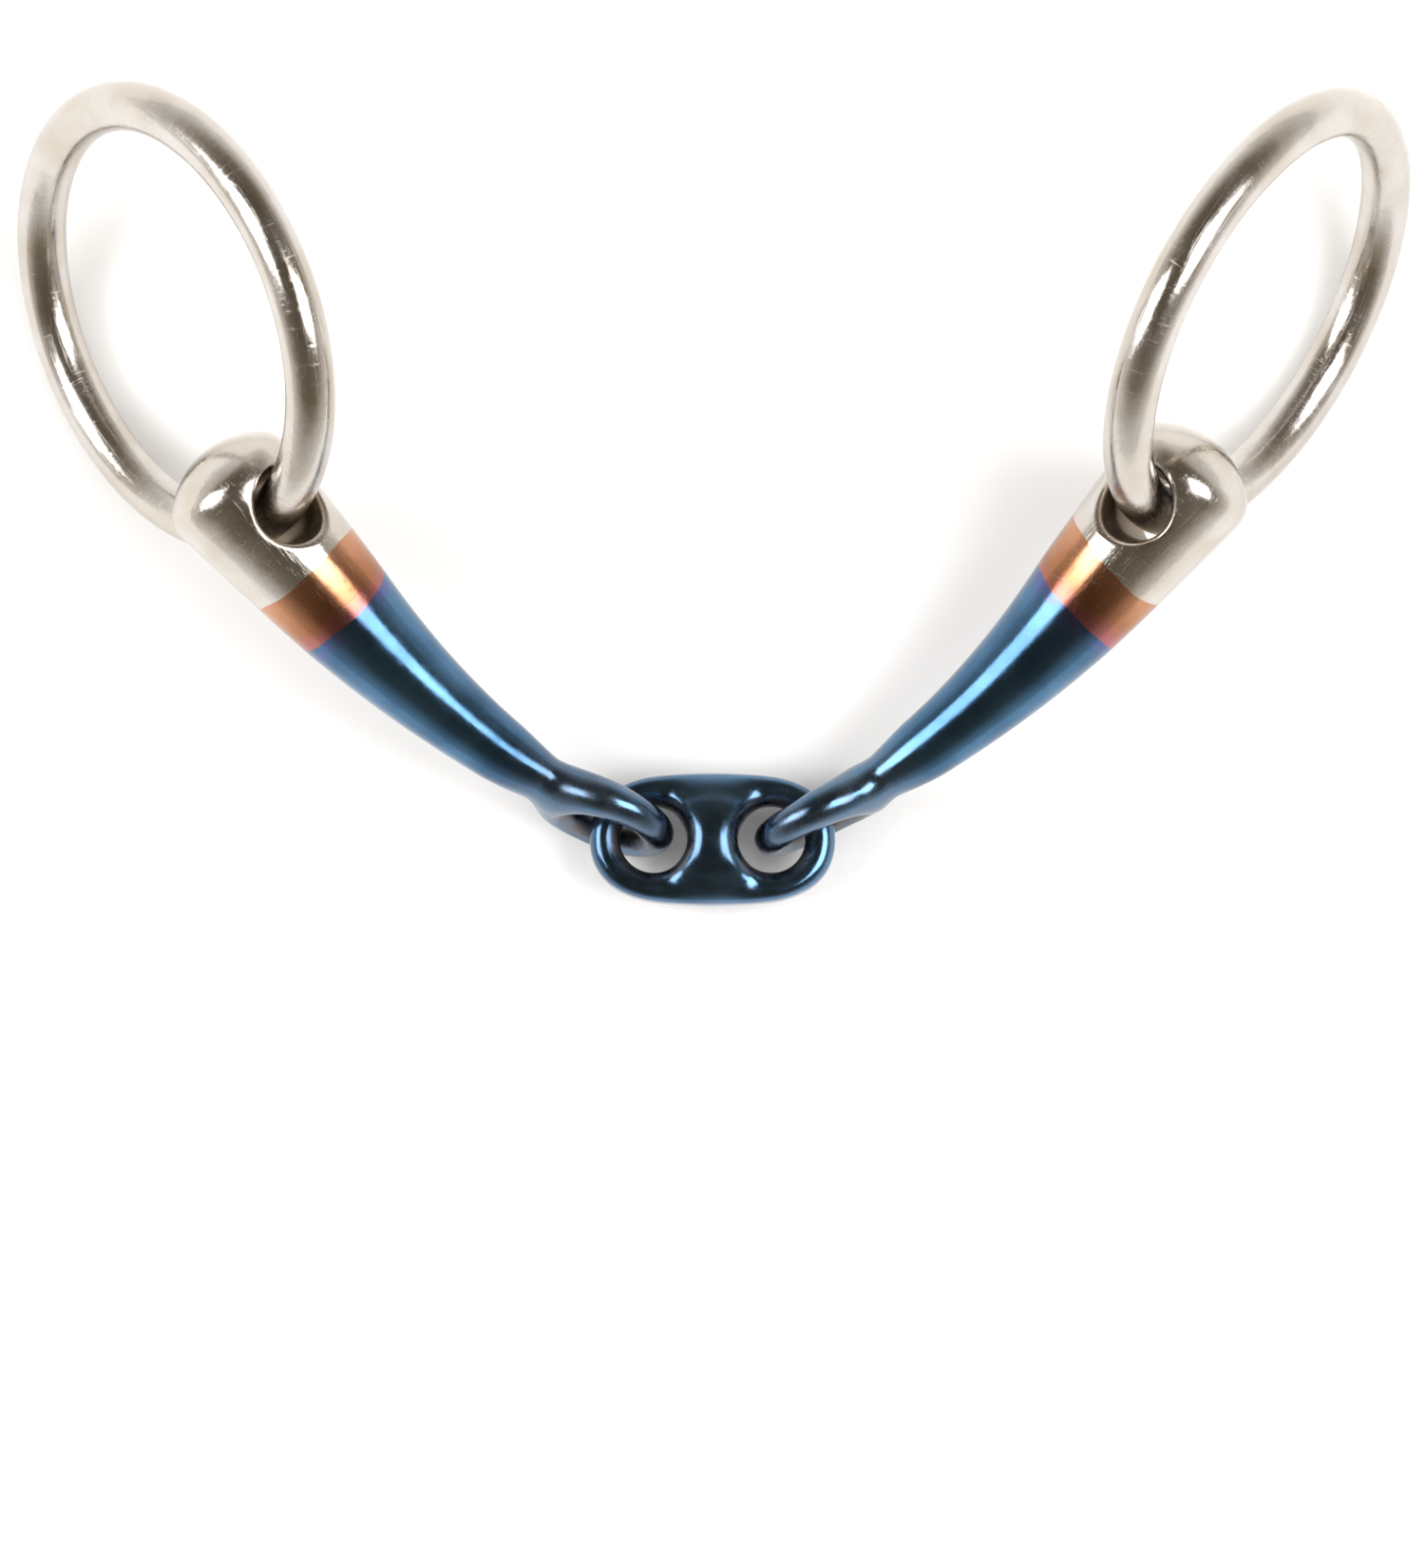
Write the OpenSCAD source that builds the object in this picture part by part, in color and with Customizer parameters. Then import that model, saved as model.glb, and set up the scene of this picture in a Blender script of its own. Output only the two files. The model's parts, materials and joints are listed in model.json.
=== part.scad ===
// Loose-ring snaffle bit: two curved cannons joined by a lozenge link, with a loose ring
// in each end. It rests on its eyes and its two leaning rings; +Z is up and the origin
// lies on the surface it rests on, straight below the middle of the link.

/* [Rings] */
// Clear inside diameter of a loose ring
ring_bore = 45; // [40:0.5:47]
// Diameter of the ring's round wire
ring_wire = 5.8; // [5:0.1:6]

/* [Mouthpiece] */
// Distance along the cannon from the ring hole to the pivot in the link
cannon_length = 61.3; // [60:0.1:68]
// Largest diameter of the cannon, at the shoulder just outside the ring hole
boss_d = 16.4; // [16:0.1:17]
// Diameter of the ring hole
ring_hole_d = 7.6; // [7.5:0.1:8]
// Diameter at the joint between the steel end and the copper collar
collar_outer_d = 14.4; // [14:0.1:15]
// Diameter at the joint between the copper collar and the blued bar
collar_inner_d = 13.1; // [12.5:0.1:13.5]
// Distance from the ring hole to the copper collar
collar_start = 7.3; // [6.8:0.1:8]
// Length of the copper collar
collar_length = 7; // [6.5:0.1:8]
// Diameter of the thinnest part of the bar, beside the eye
neck_d = 7; // [6.4:0.1:8]
// How far the cannon curves along its length, in degrees
cannon_bend = 21; // [15:1:26]
// Turn of the left eye about its bar, from the plane of the ring hole, in degrees
left_eye_turn = -8; // [-10:0.5:-6]
// Turn of the right eye about its bar, from the plane of the ring hole, in degrees
right_eye_turn = 10; // [0:0.5:16]

/* [Eyes] */
// Outside diameter of the eye at the inner end of a cannon
eye_d = 16.6; // [16:0.1:17]
// Diameter of the eye's round wire
eye_wire = 4; // [3.8:0.1:4.1]

/* [Middle link] */
// Diameter of each of the two holes in the link
link_hole_d = 7.7; // [7.5:0.1:7.9]
// Distance of each hole from the middle of the link
link_hole_x = 6.95; // [6.8:0.05:7.1]
// Width of the rim round each hole
link_rim = 3.9; // [3.8:0.1:4]
// Thickness of the rim
link_thick = 5.4; // [5.2:0.1:5.6]
// Thickness of the raised middle of the link
link_middle = 10.6; // [9:0.1:11]
// Distance of each pivot from the middle of the link
pivot_x = 7.4; // [7.2:0.1:7.6]

/* [Resting pose] */
// Height of the two pivots above the surface
pivot_height = 6.15; // [5:0.05:8]
// How far the middle of the link sits above the pivots, lying on the lower halves of the eyes
link_lift = 1.4; // [1:0.05:1.6]
// Roll of the link about its long axis, towards the inside of the V, in degrees
link_roll = 5; // [0:1:12]
// Rise of the left cannon from the link, in degrees
left_rise = 17.1; // [12:0.1:22]
// Rise of the right cannon from the link, in degrees
right_rise = 16.1; // [12:0.1:22]
// Angle of the left cannon back from the link's long axis, in degrees
left_sweep = 39.6; // [36:0.1:42]
// Angle of the right cannon back from the link's long axis, in degrees
right_sweep = 40.8; // [36:0.1:42]
// Lean of the left ring hole's axis towards the inside of the V, in degrees
left_lean = 31; // [20:0.1:35]
// Lean of the right ring hole's axis towards the inside of the V, in degrees
right_lean = 21.2; // [20:0.1:35]
// Swing of the left ring from straight outwards, towards the inside of the V, in degrees
left_swing = 22.5; // [10:0.1:30]
// Swing of the right ring from straight outwards, towards the inside of the V, in degrees
right_swing = 14.6; // [10:0.1:30]

/* [Hidden] */
$fn = 64;

// ring
ring_r = (ring_bore + ring_wire) / 2; // radius of the wire's centre line
ring_seat = 0.2;                      // from the hole's axis to the wire's middle, on the ring's side

// steel end
tip_reach = 10.4;    // from the ring hole's axis to the rounded tip
shoulder_at = sqrt(tip_reach * tip_reach - boss_d * boss_d / 4); // from the hole's axis to the shoulder
boss_slope = (boss_d - collar_outer_d) / (shoulder_at + collar_start);
mouth_r = 4.85;      // radius of the flared mouths of the ring hole
mouth_depth = 4.5;   // how deep the flare goes
spigot_d = 6.5;      // pin that carries the collar and goes into the bar
spigot_grip = 8;     // how far the spigot goes into the bar
braze_gap = 0.05;    // film of solder round the spigot
bar_start = collar_start + collar_length;
spigot_end = bar_start + spigot_grip;

// bar: straight, then an arc, then straight again through the neck
arc_end = 54;                                              // distance along the bar where the arc ends
arc_r = (arc_end - bar_start) / (cannon_bend * PI / 180);  // radius of the arc
taper_power = 1.28;                                        // over 1 slows the taper towards the neck
neck_at = 46;                                              // distance along the bar of the thinnest place
eye_r = (eye_d - eye_wire) / 2;                            // radius of the eye wire's centre line
eye_at = cannon_length - eye_r;                            // distance along the bar of the eye's centre
flare_end = eye_at - eye_r;                                // the neck ends inside the eye's wire
flare_half = 1.85;                                         // half the neck's width there, less than the wire's
sweep_sides = 36;
sweep_steps = 30;

// where the pivot lies, seen from the ring hole, and the heading of the chord to it
pivot_at = bar_point(cannon_length);
chord_turn = atan2(pivot_at[1], pivot_at[0]);

// link
rim_r = link_hole_d / 2 + link_rim / 2; // radius of the rim's middle line
web_edge = 7.2;                         // distance from the centre where the raised middle thins out
web_edge_half = 2;                      // half its thickness there
web_rise = link_middle / 2 - web_edge_half;
web_reach = rim_r + link_rim / 2 - 0.15; // the raised middle ends inside the rim
web_half_length = link_hole_x - 0.6;     // and stops short of the holes' centres
web_ball = (web_edge * web_edge + web_rise * web_rise) / (2 * web_rise); // radius of its two faces

// heading of the bar at distance s from the ring hole, in degrees
function bar_heading(s) = cannon_bend * min(max((s - bar_start) / (arc_end - bar_start), 0), 1);

// centre of the bar at distance s from the ring hole
function bar_point(s) =
    let (a = bar_heading(s), rest = max(s - arc_end, 0))
    [min(s, bar_start) + arc_r * sin(a) + rest * cos(a),
     arc_r * (1 - cos(a)) + rest * sin(a),
     0];

// The bar tapers in a gentle curve to the neck and then opens out into the eye.
function taper(s) =
    let (still = max((neck_at - s) / (neck_at - bar_start), 0))
    neck_d / 2 + (collar_inner_d - neck_d) / 2 * pow(still, taper_power);
function flare(s) = pow(max((s - neck_at) / (flare_end - neck_at), 0), 2);

// half sizes of the bar, across the eye's plane and in it, at distance s
function bar_half(s) =
    let (f = flare(s))
    [taper(s) + f * (flare_half - neck_d / 2), taper(s) + f * eye_wire / 2];

// one ring of points round the bar, turned with the bar and with the eye
function bar_section(s, turn) =
    let (c = bar_point(s), a = bar_heading(s), h = bar_half(s))
    [for (i = [0 : sweep_sides - 1])
        let (q = 360 * i / sweep_sides,
             y0 = h[0] * cos(q), z0 = h[1] * sin(q),
             y = y0 * cos(turn) + z0 * sin(turn),
             z = z0 * cos(turn) - y0 * sin(turn))
        [c[0] - y * sin(a), c[1] + y * cos(a), z]];

// skin of quads over rings of points, closed by a flat face at each end
module skin(rings) {
    sides = len(rings[0]);
    last = len(rings) - 1;
    polyhedron(
        points = [for (r = rings) each r],
        faces = concat(
            [[for (i = [0 : sides - 1]) i]],
            [[for (i = [sides - 1 : -1 : 0]) last * sides + i]],
            [for (j = [0 : last - 1], i = [0 : sides - 1])
                let (n = (i + 1) % sides)
                [j * sides + i, (j + 1) * sides + i, (j + 1) * sides + n, j * sides + n]]));
}

// places a piece of the left cannon, drawn with its ring hole at the origin
module left_leg() {
    translate([-pivot_x, 0, pivot_height])
        rotate([left_lean, -left_rise, 180 - left_sweep])
            rotate([0, 0, 180 - chord_turn])
                translate(-pivot_at)
                    children();
}

// places a piece of the right cannon, drawn with its ring hole at the origin
module right_leg() {
    translate([pivot_x, 0, pivot_height])
        rotate([180 - right_lean, -right_rise, right_sweep])
            rotate([0, 0, 180 - chord_turn])
                translate(-pivot_at)
                    children();
}

// steel end: a bulbous boss round the ring hole, with the spigot that holds the rest
module steel_end() {
    difference() {
        union() {
            intersection() {
                sphere(r = tip_reach);
                rotate([0, 90, 0])
                    translate([0, 0, -tip_reach])
                        cylinder(h = tip_reach + collar_start, d2 = collar_outer_d,
                                 d1 = collar_outer_d + boss_slope * (tip_reach + collar_start));
            }
            rotate([0, 90, 0]) cylinder(h = spigot_end, d = spigot_d);
        }
        cylinder(h = 2 * boss_d, d = ring_hole_d, center = true);
        for (side = [0, 1]) mirror([0, 0, side])
            translate([0, 0, boss_d / 2 - mouth_depth])
                cylinder(h = mouth_depth, d1 = ring_hole_d, r2 = mouth_r);
    }
}

// copper collar: a short tapered sleeve over the spigot
module copper_collar() {
    translate([collar_start, 0, 0]) rotate([0, 90, 0])
        difference() {
            cylinder(h = collar_length, d1 = collar_outer_d, d2 = collar_inner_d);
            cylinder(h = 3 * collar_length, d = spigot_d + 2 * braze_gap, center = true);
        }
}

// blued bar: curved and tapered, with a blind socket at one end and the eye at the other
module cannon_bar(eye_turn) {
    difference() {
        union() {
            skin([for (i = [0 : sweep_steps])
                bar_section(bar_start + (flare_end - bar_start) * i / sweep_steps, eye_turn)]);
            translate(bar_point(eye_at))
                rotate([0, 0, cannon_bend]) rotate([-eye_turn, 0, 0]) rotate([90, 0, 0])
                    rotate_extrude()
                        translate([eye_r, 0]) circle(d = eye_wire);
        }
        translate([bar_start - 1, 0, 0]) rotate([0, 90, 0])
            cylinder(h = spigot_grip + 1 + braze_gap, d = spigot_d + 2 * braze_gap);
    }
}

// loose ring, swung from straight outwards towards the inside of the V
module loose_ring(swing) {
    rotate([0, 0, 180 - swing])
        translate([ring_r + ring_seat, 0, 0])
            rotate([90, 0, 0])
                rotate_extrude() translate([ring_r, 0]) circle(d = ring_wire);
}

// section of the link's rim, with flat sides and round ends
module rim_section() {
    flat = (link_thick - link_rim) / 2;
    union() {
        translate([0, flat]) circle(d = link_rim);
        translate([0, -flat]) circle(d = link_rim);
        square([link_rim, 2 * flat], center = true);
    }
}

// lozenge link: a rounded rim round two holes, with a thick raised middle between them
module link() {
    for (side = [0, 1]) rotate([0, 0, 180 * side])
        translate([link_hole_x, 0, 0]) rotate([0, 0, -90])
            rotate_extrude(angle = 180) translate([rim_r, 0]) rim_section();
    for (side = [-1, 1]) translate([0, side * rim_r, 0])
        rotate([0, 90, 0]) rotate([0, 0, 90])
            linear_extrude(height = 2 * link_hole_x, center = true) rim_section();
    difference() {
        intersection() {
            translate([0, 0, link_middle / 2 - web_ball]) sphere(r = web_ball);
            translate([0, 0, web_ball - link_middle / 2]) sphere(r = web_ball);
            cylinder(h = 2 * link_middle, r = web_reach, center = true);
            cube([2 * web_half_length, 4 * rim_r, 2 * link_middle], center = true);
        }
        for (side = [-1, 1])
            translate([side * link_hole_x, 0, 0])
                cylinder(h = 2 * link_middle, d = link_hole_d, center = true);
    }
}

module centre_link() {
    color("midnightblue") translate([0, 0, pivot_height + link_lift]) rotate([-link_roll, 0, 0]) link();
}
module left_cannon_bar() { color("steelblue") left_leg() cannon_bar(left_eye_turn); }
module left_copper_collar() { color("peru") left_leg() copper_collar(); }
module left_steel_end() { color("silver") left_leg() steel_end(); }
module left_ring() { color("gainsboro") left_leg() loose_ring(left_swing); }
module right_cannon_bar() { color("steelblue") right_leg() cannon_bar(right_eye_turn); }
module right_copper_collar() { color("peru") right_leg() copper_collar(); }
module right_steel_end() { color("silver") right_leg() steel_end(); }
module right_ring() { color("gainsboro") right_leg() loose_ring(right_swing); }

centre_link();
left_cannon_bar();
left_copper_collar();
left_steel_end();
left_ring();
right_cannon_bar();
right_copper_collar();
right_steel_end();
right_ring();
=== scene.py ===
# Loose-ring snaffle bit with curved blued cannons, copper collars, steel ends and a lozenge link.
import json
import math

import bmesh
import bpy
import numpy as np
from mathutils import Matrix, Vector


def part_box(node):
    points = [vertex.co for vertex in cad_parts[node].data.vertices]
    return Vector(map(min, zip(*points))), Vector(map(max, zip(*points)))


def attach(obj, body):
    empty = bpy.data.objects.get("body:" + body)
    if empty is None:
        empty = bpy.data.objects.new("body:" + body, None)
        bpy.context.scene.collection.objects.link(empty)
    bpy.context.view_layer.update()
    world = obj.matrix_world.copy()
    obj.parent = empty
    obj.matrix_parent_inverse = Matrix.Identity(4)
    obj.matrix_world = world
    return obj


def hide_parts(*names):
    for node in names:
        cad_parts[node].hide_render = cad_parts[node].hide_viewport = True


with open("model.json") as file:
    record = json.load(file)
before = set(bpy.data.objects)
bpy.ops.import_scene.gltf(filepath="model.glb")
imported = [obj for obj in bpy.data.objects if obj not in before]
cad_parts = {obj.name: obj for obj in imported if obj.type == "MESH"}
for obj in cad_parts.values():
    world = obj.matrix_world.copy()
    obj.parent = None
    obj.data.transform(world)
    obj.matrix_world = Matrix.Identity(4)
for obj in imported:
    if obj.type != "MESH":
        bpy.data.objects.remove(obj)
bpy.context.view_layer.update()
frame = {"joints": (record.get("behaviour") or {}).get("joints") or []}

MM = 0.001

# Sizes in mm, as in the CAD model.
WIRE_R = 2.9          # ring wire
RING_R = 25.4         # ring, to the wire's middle
RING_SEAT = 0.2       # from the hole's axis to the wire's middle
HOLE_R = 3.8          # ring hole
MOUTH_R = 4.85        # flared mouth of the ring hole
MOUTH_DEPTH = 4.5
TIP_REACH = 10.4      # from the ring hole's axis to the rounded tip
BOSS_R = 8.2
COLLAR_START = 7.3
BAR_START = 14.3
CORE_R = 3.3          # bore of the collar
OUTER_EDGE = {"left": (-0.1, 0.6), "right": (1.0, 3.1)}  # slant and wave of steel to copper
INNER_EDGE = {"left": (0.5, 2.6), "right": (1.0, 5.1)}   # and of copper to blued iron
ARC_END = 54.0        # where the bar's curve ends
BEND = math.radians(21)
ARC_R = (ARC_END - BAR_START) / BEND
LENGTH = 61.3         # from the ring hole to the pivot
NECK_AT = 46.0
NECK_R = 3.5
EYE_R = 6.3           # eye, to the wire's middle
EYE_WIRE_R = 2.0
EYE_ROOT = 0.5        # how much thicker the eye's wire is where it leaves the bar
EYE_AT = LENGTH - EYE_R
EYE_TURN = {"left": math.radians(-8), "right": math.radians(10)}
SWING = {"left": math.radians(22.5), "right": math.radians(14.6)}
LINK_HOLE_R = 3.85
LINK_HOLE_X = 6.95
LINK_RIM = 3.9
LINK_THICK = 5.4
LINK_MIDDLE = 10.6
LINK_HALF = 14.75     # half length and half width of the link's outline
LINK_HALF_WIDE = 8.0
LINK_ROLL = math.radians(5)

# Mesh sizes.
CELL = 0.3            # grid of the steel ends' and bars' skins, mm
LINK_CELL = 0.25
RING_AROUND, RING_ACROSS = 360, 48
COLLAR_AROUND, COLLAR_STEPS = 144, 14

# Picture.
LENS_MM = 169.96
SENSOR_MM = 36
CAMERA_PLACE = (0, 0.00657, 0.880)
FLOOR_HALF = 2.0      # m
FLOOR_DROP = 0.00002  # m below the object, so the two don't share a plane
BOX_RADIANCE = 6.5
FILL_RADIANCE = 1.12

# Radius of the cannon along its length: one smooth run over the steel, the copper and the bar.
PROFILE_AT = np.array([-12.0, -6.4, 0.0, 7.3, 10.5, 14.3, 20.0, 26.0, 32.0, 38.0, 43.0, 46.0, 50.0])
PROFILE_R = np.array([8.3, 8.2, 7.8, 7.2, 6.93, 6.55, 5.87, 5.18, 4.54, 3.98, 3.63, 3.5, 3.42])
PROFILE_SLOPE = np.gradient(PROFILE_R, PROFILE_AT)


def profile(at):
    """Radius of the cannon at distance at from the ring hole, as a smooth curve."""
    at = np.clip(at, PROFILE_AT[0], PROFILE_AT[-1])
    k = np.clip(np.searchsorted(PROFILE_AT, at) - 1, 0, len(PROFILE_AT) - 2)
    span = PROFILE_AT[k + 1] - PROFILE_AT[k]
    t = (at - PROFILE_AT[k]) / span
    a, b = PROFILE_R[k], PROFILE_R[k + 1]
    da, db = PROFILE_SLOPE[k] * span, PROFILE_SLOPE[k + 1] * span
    return (
        a * (1 + 2 * t) * (1 - t) ** 2
        + da * t * (1 - t) ** 2
        + b * t * t * (3 - 2 * t)
        + db * t * t * (t - 1)
    )


def smooth_max(a, b, k):
    """The larger of two fields, rounded over a width of k where they meet."""
    h = np.clip(0.5 + 0.5 * (a - b) / k, 0, 1)
    return b + (a - b) * h + k * h * (1 - h)


def smooth_min(a, b, k):
    return -smooth_max(-a, -b, k)


def smooth_step(low, high, x):
    t = np.clip((x - low) / (high - low), 0, 1)
    return t * t * (3 - 2 * t)


def bar_point(at):
    """Centre of the bar at distance at from the ring hole."""
    angle = BEND * min(max((at - BAR_START) / (ARC_END - BAR_START), 0), 1)
    rest = max(at - ARC_END, 0)
    return Vector((
        min(at, BAR_START) + ARC_R * math.sin(angle) + rest * math.cos(angle),
        ARC_R * (1 - math.cos(angle)) + rest * math.sin(angle),
        0,
    ))


def straightened(p):
    """Distance along the bar, and offsets across it, for points beside the curved bar."""
    dx, dy = p[:, 0] - BAR_START, ARC_R - p[:, 1]
    angle = np.clip(np.arctan2(dx, dy), 0, BEND)
    along = BAR_START + ARC_R * angle
    side = ARC_R - np.hypot(dx, dy)
    end = bar_point(ARC_END)
    ex, ey = p[:, 0] - end.x, p[:, 1] - end.y
    c, s = math.cos(BEND), math.sin(BEND)
    past = ex * c + ey * s
    before = dx < 0
    beyond = (np.arctan2(dx, dy) > BEND) & (past > 0)
    along = np.where(before, p[:, 0], np.where(beyond, ARC_END + past, along))
    side = np.where(before, p[:, 1], np.where(beyond, ey * c - ex * s, side))
    return np.stack([along, side, p[:, 2]], 1)


def gradient(field, p, step=0.02):
    """Slope of a field at each point, by central differences."""
    g = np.empty_like(p)
    for i in range(3):
        d = np.zeros(3)
        d[i] = step
        g[:, i] = (field(p + d) - field(p - d)) / (2 * step)
    return g


def onto(field, p, rounds):
    """Points moved onto the surface where field is 0."""
    for _ in range(rounds):
        g = gradient(field, p)
        size = np.maximum((g * g).sum(1), 0.05)
        p = p - np.clip(field(p) / size, -0.4, 0.4)[:, None] * g
    return p


def skin_of(field, low, high, cell):
    """Even quad skin of the surface where field is 0, inside a box: (points, quads)."""
    low = np.array(low, float)
    count = np.ceil((np.array(high) - low) / cell).astype(int) + 1
    grid = np.stack(np.meshgrid(*[np.arange(n) for n in count], indexing="ij"), -1)
    value = field((low + cell * grid).reshape(-1, 3)).reshape(count)
    inside = value < 0
    total = np.zeros(count - 1, int)
    for corner in np.ndindex(2, 2, 2):
        window = tuple(slice(c, n - 1 + c) for c, n in zip(corner, count))
        total += inside[window]
    used = (total > 0) & (total < 8)
    index = np.full(used.shape, -1)
    index[used] = np.arange(used.sum())
    points = low + cell * (np.argwhere(used) + 0.5)
    quads = []
    for axis in range(3):
        one, two = (axis + 1) % 3, (axis + 2) % 3
        near = [slice(None)] * 3
        near[axis] = slice(0, -1)
        far = [slice(None)] * 3
        far[axis] = slice(1, None)
        a, b = inside[tuple(near)], inside[tuple(far)]
        for flip in (False, True):
            at = np.argwhere((a & ~b) if flip else (~a & b))
            at = at[(at[:, one] > 0) & (at[:, two] > 0)]
            at = at[(at[:, one] < count[one] - 1) & (at[:, two] < count[two] - 1)]
            ring = []
            for u, v in ((0, 0), (1, 0), (1, 1), (0, 1)):
                k = at.copy()
                k[:, one] -= u
                k[:, two] -= v
                ring.append(index[k[:, 0], k[:, 1], k[:, 2]])
            quads.append(np.stack(ring if not flip else ring[::-1], 1))
    quads = np.concatenate(quads)[:, ::-1]
    points = onto(field, points, 4)
    ends = np.concatenate([quads[:, [0, 1]], quads[:, [1, 2]], quads[:, [2, 3]], quads[:, [3, 0]]])
    for _ in range(4):
        summed = np.zeros_like(points)
        number = np.zeros(len(points))
        for s, t in ((0, 1), (1, 0)):
            np.add.at(summed, ends[:, s], points[ends[:, t]])
            np.add.at(number, ends[:, s], 1)
        number = np.maximum(number, 1)[:, None]
        points = onto(field, 0.5 * points + 0.5 * summed / number, 2)
    return onto(field, points, 2), quads


def steel_end_field(p):
    """Rounded boss with a flared ring hole through it, carried on as the cannon's taper."""
    x, y, z = p.T
    ball = np.sqrt(np.minimum(x, 0) ** 2 + y * y + z * z) - TIP_REACH
    side = np.hypot(y, z) - profile(x)
    flare = (MOUTH_R - HOLE_R) * smooth_step(BOSS_R - MOUTH_DEPTH - 0.5, BOSS_R + 0.4, np.abs(z))
    bore = np.hypot(x, y) - (HOLE_R + flare)
    return smooth_max(smooth_max(ball, side, 1.2), -bore, 0.9)


def bar_field(turn):
    """Curved taper that closes to a neck and opens into a ring-shaped eye."""
    eye = np.array(bar_point(EYE_AT))
    c, s = math.cos(BEND), math.sin(BEND)
    normal = np.array([-s * math.cos(turn), c * math.cos(turn), -math.sin(turn)])
    heading = np.array([c, s, 0])

    def field(p):
        b = straightened(p)
        neck = smooth_step(NECK_AT - 7, EYE_AT - EYE_R + 1.5, b[:, 0])
        across = b[:, 1] * math.cos(turn) - b[:, 2] * math.sin(turn)
        along_eye = b[:, 1] * math.sin(turn) + b[:, 2] * math.cos(turn)
        r = profile(b[:, 0])
        wide = r + neck * 0.2
        thin = r - neck * (NECK_R - EYE_WIRE_R - 0.35)
        round_bar = (np.sqrt((across / thin) ** 2 + (along_eye / wide) ** 2) - 1) * thin
        stop = b[:, 0] - (EYE_AT - EYE_R + 0.8)
        round_bar = smooth_max(round_bar, stop, 2.0)
        v = p - eye
        off = v @ normal
        flat = v - off[:, None] * normal
        reach = np.linalg.norm(flat, axis=1)
        inward = -(flat @ heading) / np.maximum(reach, 1e-6)
        wire = EYE_WIRE_R + EYE_ROOT * smooth_step(-0.2, 1.0, inward)
        hoop = np.hypot(reach - EYE_R, off) - wire
        return smooth_min(round_bar, hoop, 2.2)

    return field


def link_field(p):
    """Long oval rim round two holes, with a thick raised middle that flows into the rim."""
    x, y, z = p.T
    rim_r = LINK_HOLE_R + LINK_RIM / 2
    past = np.maximum(np.abs(x) - LINK_HOLE_X, 0)
    bow = 0.16 * np.clip(1 - (x / LINK_HOLE_X) ** 2, 0, 1)
    out = np.hypot(past, y) - rim_r - bow
    oval = (np.abs(x / LINK_HALF) ** 2.5 + np.abs(y / LINK_HALF_WIDE) ** 2.5) ** 0.4
    oval = (oval - 1) * LINK_HALF_WIDE
    rise = np.maximum(np.abs(z) - (LINK_THICK - LINK_RIM) / 2, 0)
    rim = np.hypot(out, rise) - LINK_RIM / 2
    edge, edge_half = 7.2, 2.0
    high = LINK_MIDDLE / 2 - edge_half
    ball = (edge * edge + high * high) / (2 * high)
    top = np.sqrt(x * x + y * y + (np.abs(z) + ball - LINK_MIDDLE / 2) ** 2) - ball
    column = np.hypot(x * 1.02, y) - (rim_r + 1.2)
    web = smooth_max(top, column, 1.2)
    hole = np.hypot(np.abs(x) - LINK_HOLE_X, y) - LINK_HOLE_R
    web = smooth_max(web, -hole, 2.4)
    body = smooth_max(smooth_min(rim, web, 1.6), oval, 0.8)
    return smooth_max(body, -hole - 0.02, 0.5)


def edge_wave(angle, edge):
    """How far a collar's edge strays along the bar, in mm. It slants towards the outer side."""
    slant, seed = edge
    return (
        -slant * np.cos(angle)
        + 0.12 * np.sin(2 * angle + 1.7 * seed)
        + 0.12 * np.sin(3 * angle + 1.1 * seed)
        + 0.06 * np.sin(7 * angle + 2.3 * seed)
    )


def mesh_object(name, points, faces, place, body, node, material, normals=None, facts=None):
    """A piece from points in mm, placed by a matrix, that rides on a body and stands for a node."""
    mesh = bpy.data.meshes.new(name)
    turn = np.array(place.to_3x3().normalized())
    origin = np.array(place.translation)
    mesh.from_pydata(points @ turn.T * MM + origin, [], [list(map(int, f)) for f in faces])
    mesh.polygons.foreach_set("use_smooth", np.ones(len(mesh.polygons), bool))
    for key, value in (facts or {}).items():
        kind = "FLOAT_VECTOR" if value.ndim == 2 else "FLOAT"
        field = "vector" if value.ndim == 2 else "value"
        data = mesh.attributes.new(key, kind, "POINT").data
        data.foreach_set(field, value.astype(np.float32).ravel())
    if normals is not None:
        mesh.normals_split_custom_set_from_vertices((normals @ turn.T).tolist())
    else:
        mesh.set_sharp_from_angle(angle=math.radians(40))
    mesh.materials.append(material)
    obj = bpy.data.objects.new(name, mesh)
    bpy.context.scene.collection.objects.link(obj)
    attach(obj, body)
    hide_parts(node)


def cut_across(points, quads, at, keep_above, edge):
    """The skin cut off at a wavy line round the cannon and closed: (points, faces)."""
    angle = np.arctan2(points[:, 2], points[:, 1])
    flat = points.copy()
    flat[:, 0] -= edge_wave(angle, edge)
    bm = bmesh.new()
    verts = [bm.verts.new(v) for v in flat]
    for q in quads:
        bm.faces.new([verts[i] for i in q])
    geom = bm.verts[:] + bm.edges[:] + bm.faces[:]
    bmesh.ops.bisect_plane(
        bm, geom=geom, plane_co=(at, 0, 0), plane_no=(1, 0, 0),
        clear_inner=keep_above, clear_outer=not keep_above,
    )
    rim = [e for e in bm.edges if e.is_boundary]
    bmesh.ops.contextual_create(bm, geom=rim)
    bm.verts.index_update()
    out = np.array([v.co[:] for v in bm.verts])
    faces = [[v.index for v in f.verts] for f in bm.faces]
    bm.free()
    out[:, 0] += edge_wave(np.arctan2(out[:, 2], out[:, 1]), edge)
    return out, faces


def unit(v):
    """Each row scaled to length 1."""
    return v / np.maximum(np.linalg.norm(v, axis=1), 1e-9)[:, None]


JOINTS = {j["name"]: j for j in frame["joints"]}


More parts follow.
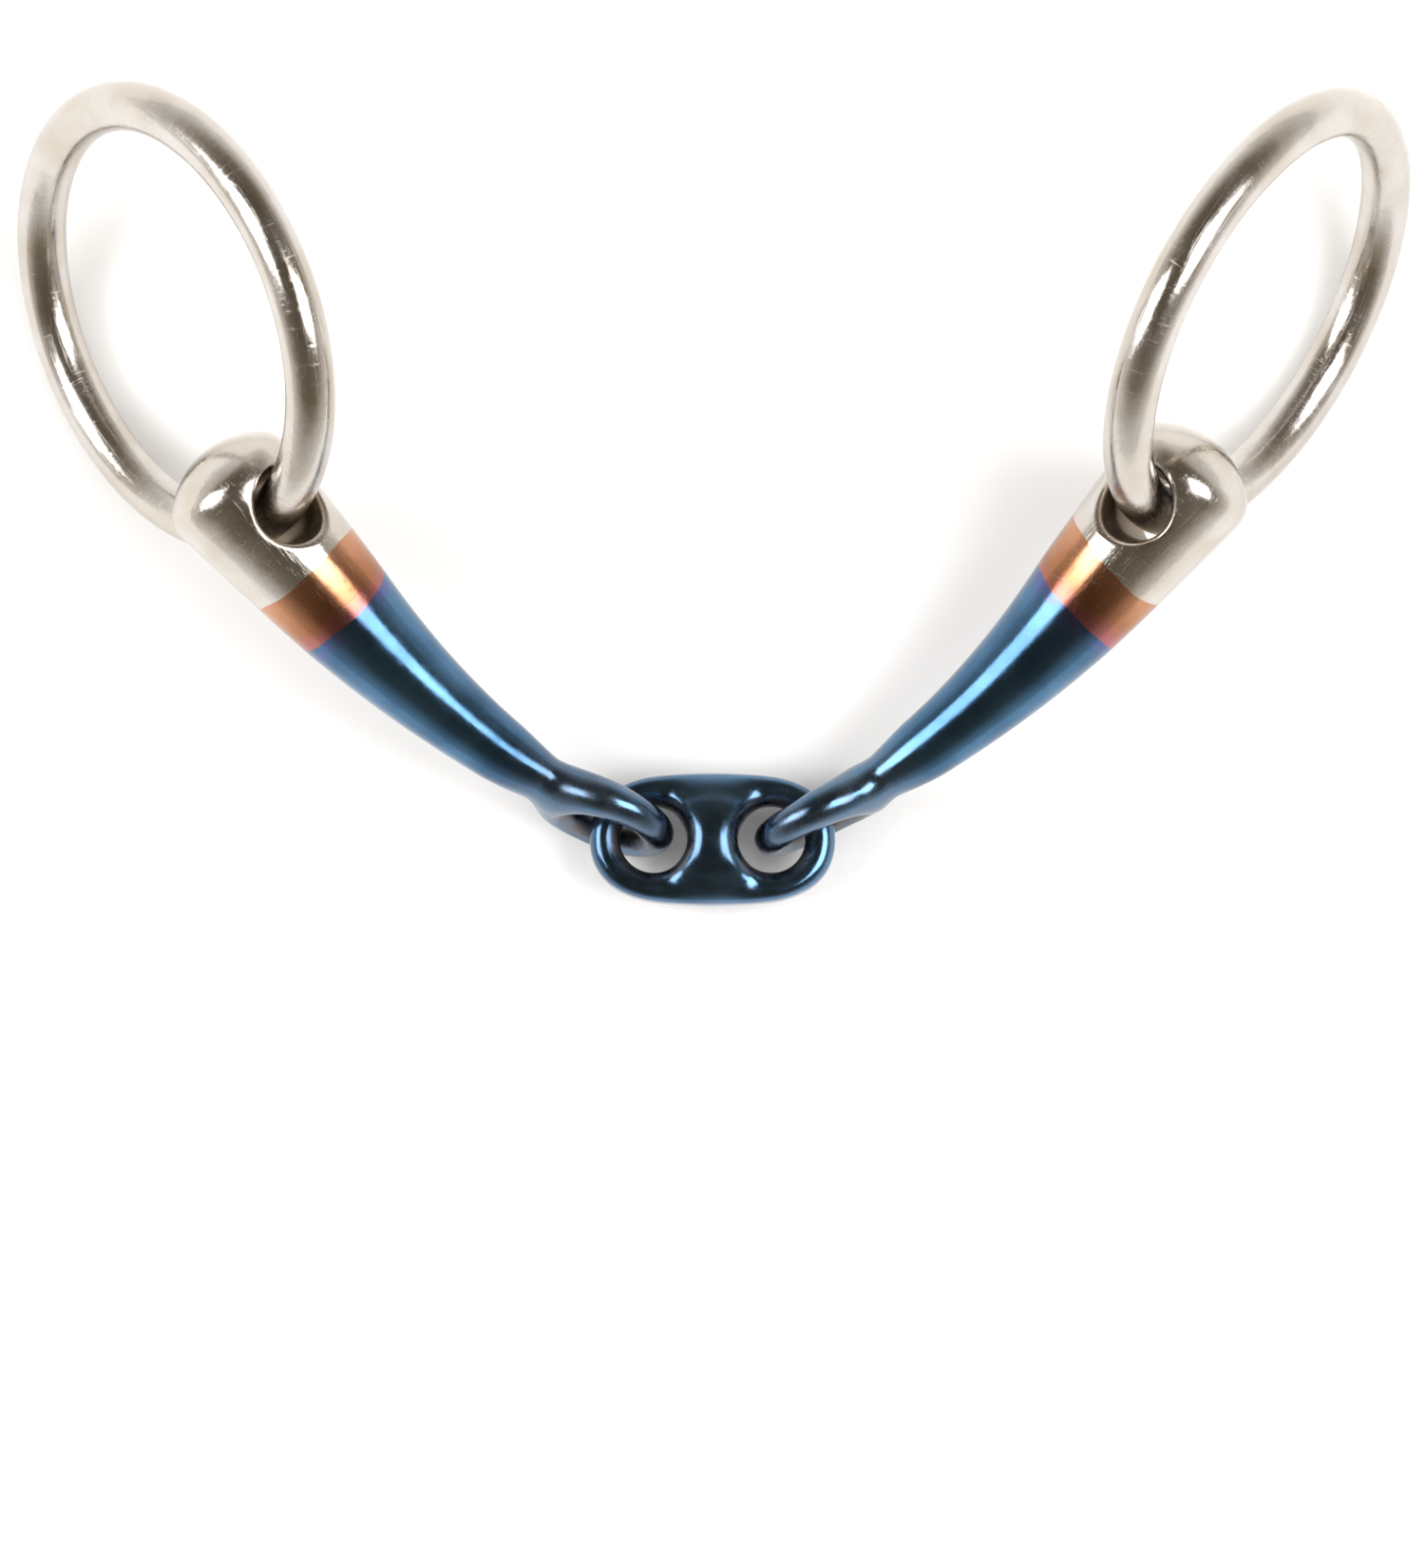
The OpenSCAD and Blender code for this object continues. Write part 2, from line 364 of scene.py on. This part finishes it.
def leg_place(side):
    """Matrix from a cannon's own frame, with its ring hole at the origin, to the shared frame."""
    swing = JOINTS[side + "_ring_swing"]
    hole = Vector(swing["pos_m"])
    up = Vector(swing["axis"]).normalized()
    chord = Vector(JOINTS[side + "_fold"]["pos_m"]) - hole
    far = bar_point(LENGTH)
    along = Matrix.Rotation(-math.atan2(far.y, far.x), 3, up) @ chord
    along = (along - up * along.dot(up)).normalized()
    across = up.cross(along)
    place = Matrix((along, across, up)).transposed().to_4x4()
    place.translation = hole
    return place


def make_steel_end(side, material):
    points, quads = skin_of(steel_end_field, (-10.9, -8.9, -8.9), (10.4, 8.9, 8.9), CELL)
    points, faces = cut_across(points, quads, COLLAR_START, False, OUTER_EDGE[side])
    radial = np.hypot(points[:, 0], points[:, 1])
    # painted shade with rub wear: 1 inside the ring hole and its flared mouth, where the steel is
    # coloured brown
    wear_and_shade = 1 - smooth_step(HOLE_R - 0.05, MOUTH_R + 0.5, radial)
    facts = {"grain": straightened(points), "wear_and_shade": wear_and_shade}
    normals = unit(gradient(steel_end_field, points))
    mesh_object(
        side + "_steel_end_skin", points, faces, leg_place(side), side + "_cannon",
        side + "_steel_end", material, normals, facts,
    )


def make_bar(side, material):
    field = bar_field(EYE_TURN[side])
    far = bar_point(LENGTH)
    low = (BAR_START - 2.6, -8.6, -8.6)
    points, quads = skin_of(field, low, (far.x + 4.6, far.y + 8.4, 8.6), CELL)
    points, faces = cut_across(points, quads, BAR_START, True, INNER_EDGE[side])
    eye = np.array(bar_point(EYE_AT))
    reach = np.linalg.norm(points - eye, axis=1)
    # painted shade with rub wear on the inner side of the eye, where the link sits; the neck's rub wear,
    # added next, is real wear only
    wear_and_shade = 1 - smooth_step(EYE_R - 1.4, EYE_R + 0.6, reach)
    grain = straightened(points)
    wear_and_shade = np.maximum(wear_and_shade, 0.3 * smooth_step(38, 48, grain[:, 0]))
    heated = 1 - smooth_step(BAR_START, BAR_START + 3.5, grain[:, 0])
    facts = {"grain": grain, "wear_and_shade": wear_and_shade, "heated": heated}
    mesh_object(
        side + "_bar_skin", points, faces, leg_place(side), side + "_cannon",
        side + "_cannon_bar", material, unit(gradient(field, points)), facts,
    )


def make_collar(side, material):
    around = COLLAR_AROUND
    angle = np.linspace(0, 2 * np.pi, around, endpoint=False)
    start = COLLAR_START + edge_wave(angle, OUTER_EDGE[side])
    end = BAR_START + edge_wave(angle, INNER_EDGE[side])
    rows = []
    for t in np.linspace(0, 1, COLLAR_STEPS):
        at = start + (end - start) * t
        r = profile(at)
        rows.append(np.stack([at, r * np.cos(angle), r * np.sin(angle)], 1))
    for at in (end, start):
        rows.append(np.stack([at, CORE_R * np.cos(angle), CORE_R * np.sin(angle)], 1))
    points = np.concatenate(rows)
    n = len(rows)
    faces = []
    for j in range(n):
        for i in range(around):
            k, m = (i + 1) % around, (j + 1) % n
            faces.append((j * around + i, m * around + i, m * around + k, j * around + k))
    facts = {"grain": straightened(points)}
    mesh_object(
        side + "_collar_skin", points, [f[::-1] for f in faces], leg_place(side), side + "_cannon",
        side + "_copper_collar", material, None, facts,
    )


def make_ring(side, material):
    around, across = RING_AROUND, RING_ACROSS
    u = np.linspace(0, 2 * np.pi, around, endpoint=False)
    v = np.linspace(0, 2 * np.pi, across, endpoint=False)
    uu, vv = np.meshgrid(u, v, indexing="ij")
    # drawn and welded wire is a little uneven along its length
    wire = WIRE_R * (1 - 0.006 + 0.004 * np.sin(3 * uu + 1) + 0.002 * np.sin(11 * uu))
    reach = RING_R + wire * np.cos(vv)
    points = np.stack([reach * np.cos(uu), reach * np.sin(uu), wire * np.sin(vv)], -1).reshape(-1, 3)
    faces = []
    for i in range(around):
        for j in range(across):
            k, m = (i + 1) % around, (j + 1) % across
            faces.append((i * across + j, k * across + j, k * across + m, i * across + m))
    # the grain starts and ends inside the ring hole, where its seam doesn't show
    run = RING_R * ((uu + np.pi) % (2 * np.pi))
    grain = np.stack([run, WIRE_R * np.cos(vv), WIRE_R * np.sin(vv)], -1).reshape(-1, 3)
    facts = {"grain": grain, "wear_and_shade": np.zeros(len(points))}
    stand = Matrix.Rotation(math.radians(90), 4, "X")
    out = Matrix.Rotation(math.pi - SWING[side], 4, "Z")
    move = Matrix.Translation(((RING_R + RING_SEAT) * MM, 0, 0))
    place = leg_place(side) @ out @ move @ stand
    mesh_object(
        side + "_ring_skin", points, faces, place, side + "_ring",
        side + "_ring", material, None, facts,
    )


def make_link(material):
    points, quads = skin_of(link_field, (-15.3, -8.5, -6.0), (15.3, 8.5, 6.0), LINK_CELL)
    hole = np.hypot(np.abs(points[:, 0]) - LINK_HOLE_X, points[:, 1])
    # painted shade with rub wear on the hole walls, where the eyes run; the low even value elsewhere is
    # light wear
    wear_and_shade = np.maximum(1 - smooth_step(LINK_HOLE_R + 0.1, LINK_HOLE_R + 1.8, hole), 0.12)
    low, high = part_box("centre_link")
    middle = (Vector(low) + Vector(high)) / 2
    place = Matrix.Translation(middle) @ Matrix.Rotation(-LINK_ROLL, 4, "X")
    facts = {"grain": points.copy(), "wear_and_shade": wear_and_shade, "heated": np.zeros(len(points))}
    normals = unit(gradient(link_field, points))
    mesh_object(
        "link_skin", points, quads, place, "centre_link", "centre_link",
        material, normals, facts,
    )


class Tree:
    """Short calls for building a material's nodes."""

    def __init__(self, name):
        self.material = bpy.data.materials.new(name)
        self.material.use_nodes = True
        self.nodes = self.material.node_tree.nodes
        self.links = self.material.node_tree.links
        self.shader = self.nodes["Principled BSDF"]

    def add(self, kind, **sockets):
        node = self.nodes.new(kind)
        for key, value in sockets.items():
            self.put(node, key, value)
        return node

    def put(self, node, key, value):
        socket = node.inputs[key if not key.isdigit() else int(key)]
        if isinstance(value, bpy.types.NodeSocket):
            self.links.new(value, socket)
        else:
            socket.default_value = value

    def fact(self, name, vector=False):
        node = self.add("ShaderNodeAttribute")
        node.attribute_name = name
        return node.outputs["Vector" if vector else "Fac"]

    def stretched(self, vector, scale):
        node = self.add("ShaderNodeVectorMath")
        node.operation = "MULTIPLY"
        self.links.new(vector, node.inputs[0])
        node.inputs[1].default_value = scale
        return node.outputs["Vector"]

    def noise(self, vector, scale, detail=3.0, roughness=0.5):
        node = self.add(
            "ShaderNodeTexNoise", Vector=vector, Scale=scale, Detail=detail, Roughness=roughness
        )
        return node.outputs["Fac"]

    def span(self, value, low, high, to_low=0.0, to_high=1.0):
        node = self.add("ShaderNodeMapRange")
        self.links.new(value, node.inputs["Value"])
        ends = (("From Min", low), ("From Max", high), ("To Min", to_low), ("To Max", to_high))
        for key, number in ends:
            node.inputs[key].default_value = number
        return node.outputs["Result"]

    def math(self, operation, a, b):
        node = self.add("ShaderNodeMath")
        node.operation = operation
        for i, value in enumerate((a, b)):
            self.put(node, str(i), value)
        return node.outputs[0]

    def mix(self, factor, a, b):
        node = self.add("ShaderNodeMix")
        node.data_type = "RGBA"
        for i, value in ((0, factor), (6, a), (7, b)):
            plain = isinstance(value, (float, bpy.types.NodeSocket))
            self.put(node, str(i), value if plain else (*value, 1))
        return node.outputs[2]


def scratches(tree, grain, fine):
    """Fine hairlines that lie along and across the metal, from 0 to 1."""
    along = tree.noise(tree.stretched(grain, (0.05, 1.6, 1.6)), 2.4 * fine, 5, 0.7)
    round_it = tree.noise(tree.stretched(grain, (1.5, 0.12, 0.12)), 2.0 * fine, 5, 0.7)
    slanted = tree.noise(tree.stretched(grain, (0.7, 0.2, 1.3)), 2.0 * fine, 5, 0.7)
    lines = tree.span(along, 0.56, 0.72)
    for other in (round_it, slanted):
        lines = tree.math("MAXIMUM", lines, tree.span(other, 0.58, 0.74))
    return lines


def finish_metal(tree, colour, roughness, height, strength, distance):
    """Link the nodes to the shader, with height as a bump of up to distance mm."""
    bump = tree.add("ShaderNodeBump", Strength=strength, Distance=distance * MM, Height=height)
    normal = bump.outputs["Normal"]
    for key, value in (("Base Color", colour), ("Roughness", roughness), ("Normal", normal)):
        tree.links.new(value, tree.shader.inputs[key])
    tree.shader.inputs["Metallic"].default_value = 1.0
    return tree.material


def steel_material():
    """Polished stainless steel of a warm tone, hairlined by use, browner inside the ring hole as painted
    shade together with the ring's rub wear.
    """
    tree = Tree("polished_steel")
    grain, wear_and_shade = tree.fact("grain", True), tree.fact("wear_and_shade")
    cloud = tree.noise(grain, 0.16, 4)
    lines = scratches(tree, grain, 1.0)
    tone = tree.mix(tree.span(cloud, 0.35, 0.65), (0.53, 0.485, 0.42), (0.62, 0.59, 0.56))
    # painted shade of the ring hole, with rub wear: the steel is mixed towards brown there
    colour = tree.mix(tree.math("MULTIPLY", wear_and_shade, 0.75), tone, (0.38, 0.27, 0.16))
    rough = tree.math("ADD", tree.span(cloud, 0.3, 0.7, 0.13, 0.24), tree.math("MULTIPLY", lines, 0.16))
    rough = tree.math("ADD", rough, tree.math("MULTIPLY", wear_and_shade, 0.18))
    dents = tree.noise(grain, 0.55, 2)
    height = tree.math("SUBTRACT", dents, tree.math("MULTIPLY", lines, 0.25))
    return finish_metal(tree, colour, rough, height, 0.5, 0.06)


def copper_material():
    """Copper collar, brown from the heat, salmon beside the steel and pink to violet by the blue."""
    tree = Tree("heated_copper")
    grain = tree.fact("grain", True)
    split = tree.add("ShaderNodeSeparateXYZ", Vector=grain)
    cloud = tree.noise(grain, 0.3, 4)
    at = tree.math("ADD", split.outputs["X"], tree.span(cloud, 0.0, 1.0, -2.0, 2.0))
    base = tree.mix(tree.span(at, COLLAR_START, BAR_START - 2), (0.50, 0.25, 0.145), (0.33, 0.145, 0.07))
    colour = tree.mix(tree.span(at, BAR_START - 2.2, BAR_START + 0.6), base, (0.34, 0.12, 0.13))
    lines = scratches(tree, grain, 1.1)
    rough = tree.math("ADD", tree.span(cloud, 0.3, 0.7, 0.15, 0.24), tree.math("MULTIPLY", lines, 0.14))
    height = tree.math("SUBTRACT", tree.noise(grain, 0.5, 2), tree.math("MULTIPLY", lines, 0.15))
    return finish_metal(tree, colour, rough, height, 0.35, 0.06)


def blued_material():
    """Heat-blued iron: navy to steel blue, violet beside the copper, grey-brown where it rubs, and
    grey-brown as painted shade on the eyes' inner sides and the link's hole walls.
    """
    tree = Tree("blued_iron")
    grain, wear_and_shade = tree.fact("grain", True), tree.fact("wear_and_shade")
    cloud = tree.noise(grain, 0.12, 4)
    patch = tree.noise(grain, 0.45, 5, 0.6)
    blue = tree.mix(tree.span(cloud, 0.35, 0.65), (0.045, 0.103, 0.185), (0.074, 0.165, 0.280))
    tint = tree.math("MULTIPLY", tree.fact("heated"), tree.span(patch, 0.42, 0.66, 0.0, 0.7))
    colour = tree.mix(tint, blue, (0.13, 0.10, 0.30))
    # grey-brown in patches: real wear at the neck, and painted shade with rub wear on the eyes' inner
    # sides and the link's hole walls
    rub_and_shade = tree.math("MULTIPLY", wear_and_shade, tree.span(patch, 0.36, 0.54, 0.35, 1.0))
    colour = tree.mix(tree.math("MULTIPLY", rub_and_shade, 0.8), colour, (0.24, 0.20, 0.17))
    lines = scratches(tree, grain, 1.2)
    rough = tree.math("ADD", tree.span(patch, 0.3, 0.7, 0.11, 0.19), tree.math("MULTIPLY", lines, 0.10))
    rough = tree.math("ADD", rough, tree.math("MULTIPLY", rub_and_shade, 0.32))
    pits = tree.math("MULTIPLY", rub_and_shade, tree.noise(grain, 2.6, 4, 0.7))
    height = tree.math("SUBTRACT", tree.noise(grain, 0.4, 2), tree.math("MULTIPLY", lines, 0.1))
    height = tree.math("ADD", height, tree.math("MULTIPLY", pits, 1.2))
    return finish_metal(tree, colour, rough, height, 0.35, 0.06)


def make_floor():
    mesh = bpy.data.meshes.new("floor")
    half = FLOOR_HALF
    corners = [(-half, -half, 0), (half, -half, 0), (half, half, 0), (-half, half, 0)]
    mesh.from_pydata(corners, [], [(0, 1, 2, 3)])
    tree = Tree("pale_floor")
    coords = tree.add("ShaderNodeTexCoord")
    cloud = tree.noise(coords.outputs["Object"], 3.0, 3)
    tone = tree.mix(cloud, (0.86, 0.86, 0.86), (0.88, 0.88, 0.88))
    tree.links.new(tone, tree.shader.inputs["Base Color"])
    tree.shader.inputs["Roughness"].default_value = 0.9
    tree.shader.inputs["Specular IOR Level"].default_value = 0.1
    mesh.materials.append(tree.material)
    floor = bpy.data.objects.new("floor", mesh)
    floor.location.z = -FLOOR_DROP
    bpy.context.scene.collection.objects.link(floor)


def make_light(name, place, aim, wide, tall, radiance, in_gloss=True):
    """A soft white panel, wide by tall in m, that faces the point aim."""
    light = bpy.data.lights.new(name, "AREA")
    light.shape = "RECTANGLE"
    light.size, light.size_y = wide, tall
    light.energy = radiance * math.pi * wide * tall
    obj = bpy.data.objects.new(name, light)
    obj.location = place
    obj.rotation_euler = (Vector(aim) - Vector(place)).to_track_quat("-Z", "Y").to_euler()
    obj.visible_glossy = in_gloss
    bpy.context.scene.collection.objects.link(obj)


def make_air():
    """Surroundings: pale at the horizon and dark, warm grey overhead."""
    world = bpy.data.worlds.new("studio_air")
    bpy.context.scene.world = world
    world.use_nodes = True
    nodes, links = world.node_tree.nodes, world.node_tree.links
    coords = nodes.new("ShaderNodeTexCoord")
    split = nodes.new("ShaderNodeSeparateXYZ")
    ramp = nodes.new("ShaderNodeValToRGB")
    links.new(coords.outputs["Generated"], split.inputs[0])
    links.new(split.outputs["Z"], ramp.inputs["Fac"])
    stops = (
        (0.0, (0.95, 0.94, 0.93)),
        (0.22, (0.66, 0.62, 0.57)),
        (0.5, (0.24, 0.20, 0.155)),
        (0.85, (0.13, 0.105, 0.078)),
    )
    elements = ramp.color_ramp.elements
    while len(elements) < len(stops):
        elements.new(0.5)
    for element, (at, colour) in zip(elements, stops):
        element.position = at
        element.color = (*colour, 1)
    links.new(ramp.outputs["Color"], nodes["Background"].inputs["Color"])
    nodes["Background"].inputs["Strength"].default_value = 1.0


def make_camera():
    """Camera above the object, at the photograph's viewing angle."""
    camera = bpy.data.cameras.new("camera")
    camera.lens = LENS_MM
    camera.sensor_width = SENSOR_MM
    camera.clip_start = 0.01
    obj = bpy.data.objects.new("camera", camera)
    obj.location = CAMERA_PLACE
    bpy.context.scene.collection.objects.link(obj)
    bpy.context.scene.camera = obj


make_camera()
steel, copper, blued = steel_material(), copper_material(), blued_material()
for side in ("left", "right"):
    make_steel_end(side, steel)
    make_collar(side, copper)
    make_bar(side, blued)
    make_ring(side, steel)
make_link(blued)

make_floor()
make_air()
make_light("fill", (0, 0, 1.6), (0, 0, 0), 3.0, 3.0, FILL_RADIANCE, in_gloss=False)
make_light("box_left", (-0.52, 0.06, 0.45), (-0.02, 0.02, 0), 0.32, 0.42, BOX_RADIANCE)
make_light("box_right", (0.40, 0.0, 0.58), (0.02, 0.02, 0), 0.36, 0.44, BOX_RADIANCE)
bpy.context.scene.view_settings.view_transform = "Standard"
